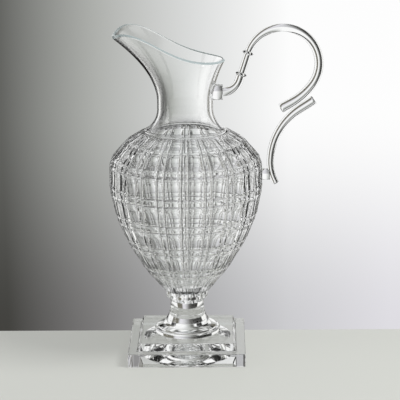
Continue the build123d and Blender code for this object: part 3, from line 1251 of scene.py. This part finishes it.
@dataclass(kw_only=True)
class Drum(ABC):
    """Short round piece lying along X, each end shaped to what it seats on.

    Args:
        node: The CAD node that it stands for.
        rounding: Rounding of both its rims.
        gap: Gap between an end and what it seats on.
        columns: Number of sides of the round.
        cap_shares: Radii of the rings on its flat ends, as shares of their own radius.
    """

    node: str
    rounding: float
    gap: float
    columns: int = 64
    cap_shares: tuple[float, ...] = (0, 0.25, 0.5, 0.75)

    def __post_init__(self) -> None:
        """Reads the radius and the height of the axis from the frame."""
        self.low, self.high = node_box(self.node)
        self.radius = (self.high.y - self.low.y) / 2
        self.centre = (self.low.z + self.high.z) / 2

    @abstractmethod
    def near(self, y: float, z: float) -> float:
        """Place along X of the end nearer the jug's axis, for a point off the drum's axis."""

    @abstractmethod
    def far(self, y: float, z: float) -> float:
        """Place along X of the other end, for a point off the drum's axis."""

    def build(self, finish: ClearAcrylic) -> Object:
        """Makes the drum in one closed grid and dresses it."""
        half = [((self.radius - self.rounding) * share, 0.0) for share in self.cap_shares]
        half += [(self.radius - inwards, back) for back, inwards in roundings(self.rounding)]
        rows = [(*row, True) for row in half] + [(*row, False) for row in half[::-1]]

        def place(column: int, row: int) -> Point:
            """Point of the drum's skin at a column and a row."""
            radius, back, is_near = rows[row]
            turn = 2 * pi * column / self.columns
            y, z = radius * cos(turn), radius * sin(turn)
            x = self.near(y, z) + back if is_near else self.far(y, z) - back
            return x, y, self.centre + z

        bm = wrapped_grid(self.columns, len(rows) - 1, place)
        return make_piece(f"clear_{self.node}", bm, finish, Slot.ROD, self.node)


@dataclass(kw_only=True)
class Boss(Drum):
    """Boss between the neck and the upper rod, hollowed to the neck's curve."""

    neck: Neck
    node: str = "handle_boss"
    rounding: float = 0.8
    gap: float = 0.1

    def near(self, y: float, z: float) -> float:
        """Neck's outside."""
        front, back, half_width = self.neck.reaches(self.centre + z)
        reach = (front + back) / 2 * sqrt(1 - (y / half_width) ** 2)
        return (back - front) / 2 + reach + self.gap

    def far(self, y: float, z: float) -> float:
        """Flat end that carries the upper rod."""
        return self.high.x


@dataclass(kw_only=True)
class Peg(Drum):
    """Peg between the bowl's ribs and the lower rod, hollowed to both."""

    rod: LowerRod
    node: str = "handle_peg"
    rounding: float = 0.4
    gap: float = 0.15
    rod_window: tuple[int, int] = (-12, 24)

    def __post_init__(self) -> None:
        """Finds the bowl's radius and the part of the rod that the peg can touch."""
        super().__post_init__()
        self.bowl_radius = hypot(self.low.x, self.radius)
        foot = self.rod.path.length(2)
        self.beside = [self.rod.path.at(foot + step)[0] for step in range(*self.rod_window)]

    def near(self, y: float, z: float) -> float:
        """Crests of the bowl's ribs."""
        return sqrt(self.bowl_radius**2 - y**2)

    def far(self, y: float, z: float) -> float:
        """Near side of the lower rod, or the peg's flat end beside it."""
        nearest = min(self.beside, key=lambda point: abs(point.z - self.centre - z))
        reach = self.rod.foot_diameter / 2 + self.gap
        if abs(y) >= reach:
            return self.high.x
        return min(self.high.x, nearest.x - sqrt(reach**2 - y**2) - self.gap)


@dataclass(frozen=True)
class Lamp:
    """Soft lamp that faces the jug and isn't seen through it.

    Args:
        name: Name of the lamp.
        place: Its place, in metres.
        size: Its width and height, in metres.
        power: Its power in watts.
        mirrored: Whether the polished surfaces show it.
        target: The point that it faces, in metres.
    """

    name: str
    place: Point
    size: tuple[float, float]
    power: float
    mirrored: bool = False
    target: Point = (0, 0, 0.2)

    def build(self) -> None:
        """Adds the lamp."""
        data = bpy.data.lights.new(self.name, "AREA")
        data.shape = "RECTANGLE"
        data.size, data.size_y = self.size
        data.energy = self.power
        lamp = bpy.data.objects.new(self.name, data)
        lamp.visible_glossy = self.mirrored
        lamp.visible_transmission = False
        lamp.location = self.place
        ahead = Vector(self.target) - lamp.location
        lamp.rotation_euler = ahead.to_track_quat("-Z", "Y").to_euler()
        bpy.context.scene.collection.objects.link(lamp)


@dataclass
class Studio:
    """Pale table, lamps and the camera, as in the photograph.

    The camera's angles are degrees: its turn to the right of +Y, its tilt down and its roll.
    """

    camera_place: Point = (35.6, -1665.2, 571.0)
    camera_turn: float = -0.734
    camera_tilt: float = 13.86
    camera_roll: float = -0.508
    camera_range: float = 20.0
    focal_length: float = 150.33
    sensor_width: float = 36.0
    table_far_edge: float = 60.6
    table_size: float = 3000.0
    table_drop: float = 0.1
    table_colour: Colour = (0.575, 0.585, 0.55)
    table_roughness: float = 0.6
    table_gloss: float = 0.2
    lamps: tuple[Lamp, ...] = (
        Lamp("top", (0.75, -0.3, 1.1), (0.5, 0.5), 8),
        Lamp("left_box", (-0.6, -0.17, 0.33), (0.13, 0.45), 0.5, mirrored=True),
    )

    def camera(self) -> None:
        """Adds the camera at the photograph's place."""
        turn = radians(self.camera_turn)
        tilt = radians(self.camera_tilt)
        roll = radians(self.camera_roll)
        ahead = Vector((sin(turn) * cos(tilt), cos(turn) * cos(tilt), -sin(tilt)))
        right = Vector((cos(turn), -sin(turn), 0))
        up = right.cross(ahead)
        rolled_right = right * cos(roll) + up * sin(roll)
        rolled_up = up * cos(roll) - right * sin(roll)
        data = bpy.data.cameras.new("camera")
        data.lens = self.focal_length
        data.sensor_width = self.sensor_width
        data.sensor_fit = "HORIZONTAL"
        data.clip_end = self.camera_range
        camera = bpy.data.objects.new("camera", data)
        place = Matrix((rolled_right, rolled_up, -ahead)).transposed().to_4x4()
        place.translation = Vector(self.camera_place) * METRES_PER_MM
        camera.matrix_world = place
        bpy.context.scene.collection.objects.link(camera)
        bpy.context.scene.camera = camera

    def table(self) -> None:
        """Adds the pale table, which ends just behind the jug."""
        bm = bmesh.new()
        bmesh.ops.create_grid(bm, x_segments=1, y_segments=1, size=self.table_size / 2)
        middle = self.table_far_edge - self.table_size / 2
        bmesh.ops.translate(bm, vec=(0, middle, -self.table_drop), verts=bm.verts)
        bmesh.ops.scale(bm, vec=(METRES_PER_MM,) * 3, verts=bm.verts)
        table = mesh_object("table", bm)
        table.data.materials.append(shaded_material("pale_table", {
            "Base Color": (*self.table_colour, 1),
            "Roughness": self.table_roughness,
            "Specular IOR Level": self.table_gloss,
        }))
        table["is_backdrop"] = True

    def build(self) -> None:
        """Adds the camera, the table and the lamps."""
        self.camera()
        self.table()
        for lamp in self.lamps:
            lamp.build()


class Shade(Enum):
    """Colours of the flags and soft boxes that the clear pieces show."""

    BLACK = (0.012, 0.011, 0.01)
    BROWN = (0.035, 0.028, 0.02)
    OLIVE = (0.16, 0.15, 0.12)
    DIM = (0.12, 0.12, 0.11)
    PALE = (1.0, 1.0, 0.98)
    WHITE = (1.0, 1.0, 1.0)
    COOL = (0.93, 0.98, 1.0)


Band = tuple[float, float, Shade]
Stop = tuple[float, Colour]


class WorldNodes:
    """Small builder of the world's node tree."""

    def __init__(self) -> None:
        """Clears the world's tree."""
        world = bpy.data.worlds.new("studio")
        bpy.context.scene.world = world
        world.use_nodes = True
        self.tree = world.node_tree
        self.tree.nodes.clear()

    def new(self, kind: str) -> Node:
        """Adds a node."""
        return self.tree.nodes.new(kind)

    def feed(self, socket: NodeSocket, value: float | Colour | NodeSocket) -> None:
        """Gives a socket a number, a colour or another socket's output."""
        if isinstance(value, NodeSocket):
            self.tree.links.new(value, socket)
        else:
            socket.default_value = (*value, 1) if isinstance(value, tuple) else value

    def math(self, operation: str, *values: float | NodeSocket) -> NodeSocket:
        """Adds a Math node and returns its output."""
        node = self.new("ShaderNodeMath")
        node.operation = operation
        for socket, value in zip(node.inputs, values):
            self.feed(socket, value)
        return node.outputs[0]

    def smooth(self, value: NodeSocket, low: float, high: float) -> NodeSocket:
        """Smooth step from 0 at one value to 1 at another."""
        node = self.new("ShaderNodeMapRange")
        node.interpolation_type = "SMOOTHSTEP"
        self.feed(node.inputs["Value"], value)
        set_sockets(node, {"From Min": low, "From Max": high})
        return node.outputs["Result"]

    def window(self, value: NodeSocket, low: float, high: float, soft: float) -> NodeSocket:
        """1 between two values, falling softly to 0 outside them."""
        rise = self.smooth(value, low - soft, low + soft)
        fall = self.smooth(value, high + soft, high - soft)
        return self.math("MULTIPLY", rise, fall)

    def ramp(self, value: NodeSocket, stops: list[Stop]) -> NodeSocket:
        """Colour that runs through stops, each a position from 0 to 1 and a colour."""
        node = self.new("ShaderNodeValToRGB")
        self.feed(node.inputs["Fac"], value)
        elements = node.color_ramp.elements
        while len(elements) > 1:
            elements.remove(elements[-1])
        elements[0].position = stops[0][0]
        elements[0].color = (*stops[0][1], 1)
        for position, colour in stops[1:]:
            elements.new(position).color = (*colour, 1)
        return node.outputs["Color"]

    def mix(
        self, share: NodeSocket, first: Colour | NodeSocket, second: Colour | NodeSocket
    ) -> NodeSocket:
        """Colour between two others, from the first at 0 to the second at 1."""
        node = self.new("ShaderNodeMix")
        node.data_type = "RGBA"
        self.feed(node.inputs["Factor"], share)
        sockets = [socket for socket in node.inputs if socket.type == "RGBA"]
        for socket, value in zip(sockets, (first, second)):
            self.feed(socket, value)
        return next(socket for socket in node.outputs if socket.type == "RGBA")

    def banded(self, around: NodeSocket, bands: tuple[Band, ...]) -> NodeSocket:
        """Bands of colour round the horizon, each between two azimuths in degrees."""
        return self.ramp(around, [
            (angle / HALF_TURN, shade.value) for *angles, shade in bands for angle in angles
        ])


@dataclass(frozen=True)
class Backdrop:
    """World light: a graded backdrop behind the jug, pale elsewhere, and dark flags.

    The flags are seen only in the clear pieces, where they draw the dark lines. Angles
    are degrees: azimuth 0 is along +Y and grows to the right, elevation is up. A pair of
    angles gives where one look fades into the next.
    """

    half_span: float = 16.0
    high_stops: tuple[Stop, ...] = (
        (-15, (0.08, 0.08, 0.08)),
        (-7.6, (0.125, 0.127, 0.118)),
        (-4.3, (0.42, 0.43, 0.41)),
        (-0.7, (0.72, 0.73, 0.725)),
        (2.4, (0.98, 0.98, 0.98)),
        (15, (1, 1, 1)),
    )
    low_stops: tuple[Stop, ...] = (
        (-15, (0.04, 0.04, 0.04)),
        (-7.6, (0.056, 0.055, 0.05)),
        (-4.3, (0.205, 0.2, 0.2)),
        (-0.7, (0.41, 0.41, 0.42)),
        (2.4, (0.6, 0.6, 0.62)),
        (6, (0.73, 0.72, 0.76)),
    )
    low_to_high: tuple[float, float] = (-18.5, -10.5)
    photographed_to_plain: tuple[float, float] = (12, 40)
    plain: Colour = (0.6, 0.6, 0.59)
    fill_light: Colour = (0.72, 0.72, 0.72)
    left_bands: tuple[Band, ...] = (
        (0, 30, Shade.BLACK),
        (32, 64, Shade.PALE),
        (66, 80, Shade.BROWN),
        (83, 108, Shade.WHITE),
        (111, 124, Shade.BROWN),
        (128, 180, Shade.PALE),
    )
    right_bands: tuple[Band, ...] = (
        (0, 26, Shade.OLIVE),
        (28, 62, Shade.WHITE),
        (65, 78, Shade.BLACK),
        (82, 102, Shade.WHITE),
        (106, 118, Shade.OLIVE),
        (124, 180, Shade.PALE),
    )
    high_bands: tuple[Band, ...] = (
        (0, 14, Shade.WHITE),
        (16, 25, Shade.BLACK),
        (27, 62, Shade.WHITE),
        (64, 73, Shade.BLACK),
        (75, 110, Shade.WHITE),
        (112, 120, Shade.BLACK),
        (123, 180, Shade.WHITE),
    )
    backdrop_to_bands: tuple[float, float] = (9, 13)
    side_to_high_bands: tuple[float, float] = (-3, 4)
    dim_band: tuple[float, float, float] = (44, 51, 3)
    bands_to_ceiling: tuple[float, float] = (58, 64)

    def graded(self, nodes: WorldNodes, azimuth: NodeSocket, elevation: NodeSocket) -> NodeSocket:
        """Backdrop from mid grey on the left to white on the right, darker low down."""
        span = 2 * self.half_span
        across = nodes.math("DIVIDE", nodes.math("ADD", azimuth, self.half_span), span)
        low, high = (
            nodes.ramp(across, [((angle + self.half_span) / span, tone) for angle, tone in stops])
            for stops in (self.low_stops, self.high_stops)
        )
        return nodes.mix(nodes.smooth(elevation, *self.low_to_high), low, high)

    def flagged(
        self, nodes: WorldNodes, graded: NodeSocket, azimuth: NodeSocket, elevation: NodeSocket
    ) -> NodeSocket:
        """What the clear pieces show: the backdrop between dark flags and soft boxes."""
        around = nodes.math("DIVIDE", nodes.math("ABSOLUTE", azimuth), HALF_TURN)
        left = nodes.banded(around, self.left_bands)
        right = nodes.banded(around, self.right_bands)
        sides = nodes.mix(nodes.math("GREATER_THAN", azimuth, 0), left, right)
        above = nodes.banded(around, self.high_bands)
        sides = nodes.mix(nodes.smooth(elevation, *self.side_to_high_bands), sides, above)
        start, end = (angle / HALF_TURN for angle in self.backdrop_to_bands)
        level = nodes.mix(nodes.smooth(around, start, end), graded, sides)
        high = nodes.mix(nodes.window(elevation, *self.dim_band), level, Shade.DIM.value)
        ceiling = nodes.smooth(elevation, *self.bands_to_ceiling)
        return nodes.mix(ceiling, high, Shade.COOL.value)

    def build(self) -> None:
        """Builds the world's nodes."""
        nodes = WorldNodes()
        split = nodes.new("ShaderNodeSeparateXYZ")
        nodes.feed(split.inputs[0], nodes.new("ShaderNodeTexCoord").outputs["Generated"])
        x, y, z = split.outputs
        azimuth = nodes.math("MULTIPLY", nodes.math("ARCTAN2", x, y), degrees(1))
        elevation = nodes.math("MULTIPLY", nodes.math("ARCSINE", z), degrees(1))
        graded = self.graded(nodes, azimuth, elevation)
        flagged = self.flagged(nodes, graded, azimuth, elevation)
        aside = nodes.smooth(nodes.math("ABSOLUTE", azimuth), *self.photographed_to_plain)
        rays = nodes.new("ShaderNodeLightPath").outputs
        seen = nodes.mix(rays["Is Camera Ray"], flagged, nodes.mix(aside, graded, self.plain))
        shown = nodes.math("MAXIMUM", rays["Is Camera Ray"], rays["Is Glossy Ray"])
        shown = nodes.math("MAXIMUM", shown, rays["Is Transmission Ray"])
        background = nodes.new("ShaderNodeBackground")
        nodes.feed(background.inputs["Color"], nodes.mix(shown, self.fill_light, seen))
        output = nodes.new("ShaderNodeOutputWorld")
        nodes.feed(output.inputs["Surface"], background.outputs[0])


def main() -> None:
    """Builds the jug's pieces in order, then the studio."""
    logging.basicConfig(level=logging.INFO, format="%(name)s %(message)s")
    moulded = ClearAcrylic("moulded_acrylic", wave_size=30, wave_depth=0.03)
    polished = ClearAcrylic("polished_acrylic", wave_size=40, wave_depth=0.05)
    drawn = ClearAcrylic("rod_acrylic", wave_size=12, wave_depth=0.03)
    foot, neck = FootAndStem(), Neck()
    bowl = Bowl(foot.seat_radius, neck.ring_radius)
    upper_rod = UpperRod(neck=neck)
    lower_rod = LowerRod(upper=upper_rod)
    pieces = [Plinth().build(polished), foot.build(moulded), bowl.build(moulded)]
    pieces += [neck.build(polished, bowl.opening_radius)]
    handle = (Boss(neck=neck), upper_rod, lower_rod, Peg(rod=lower_rod))
    pieces += [piece.build(drawn) for piece in handle]
    for piece in pieces:
        log.info("%s: %d faces", piece.name, len(piece.data.polygons))
    Studio().build()
    Backdrop().build()
    bpy.context.scene.view_settings.view_transform = "Standard"
    boxes = {"cad": CAD_BOX, "visual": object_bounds()}
    {name: [list(corner) for corner in box] for name, box in boxes.items()}


if __name__ == "__main__":
    main()
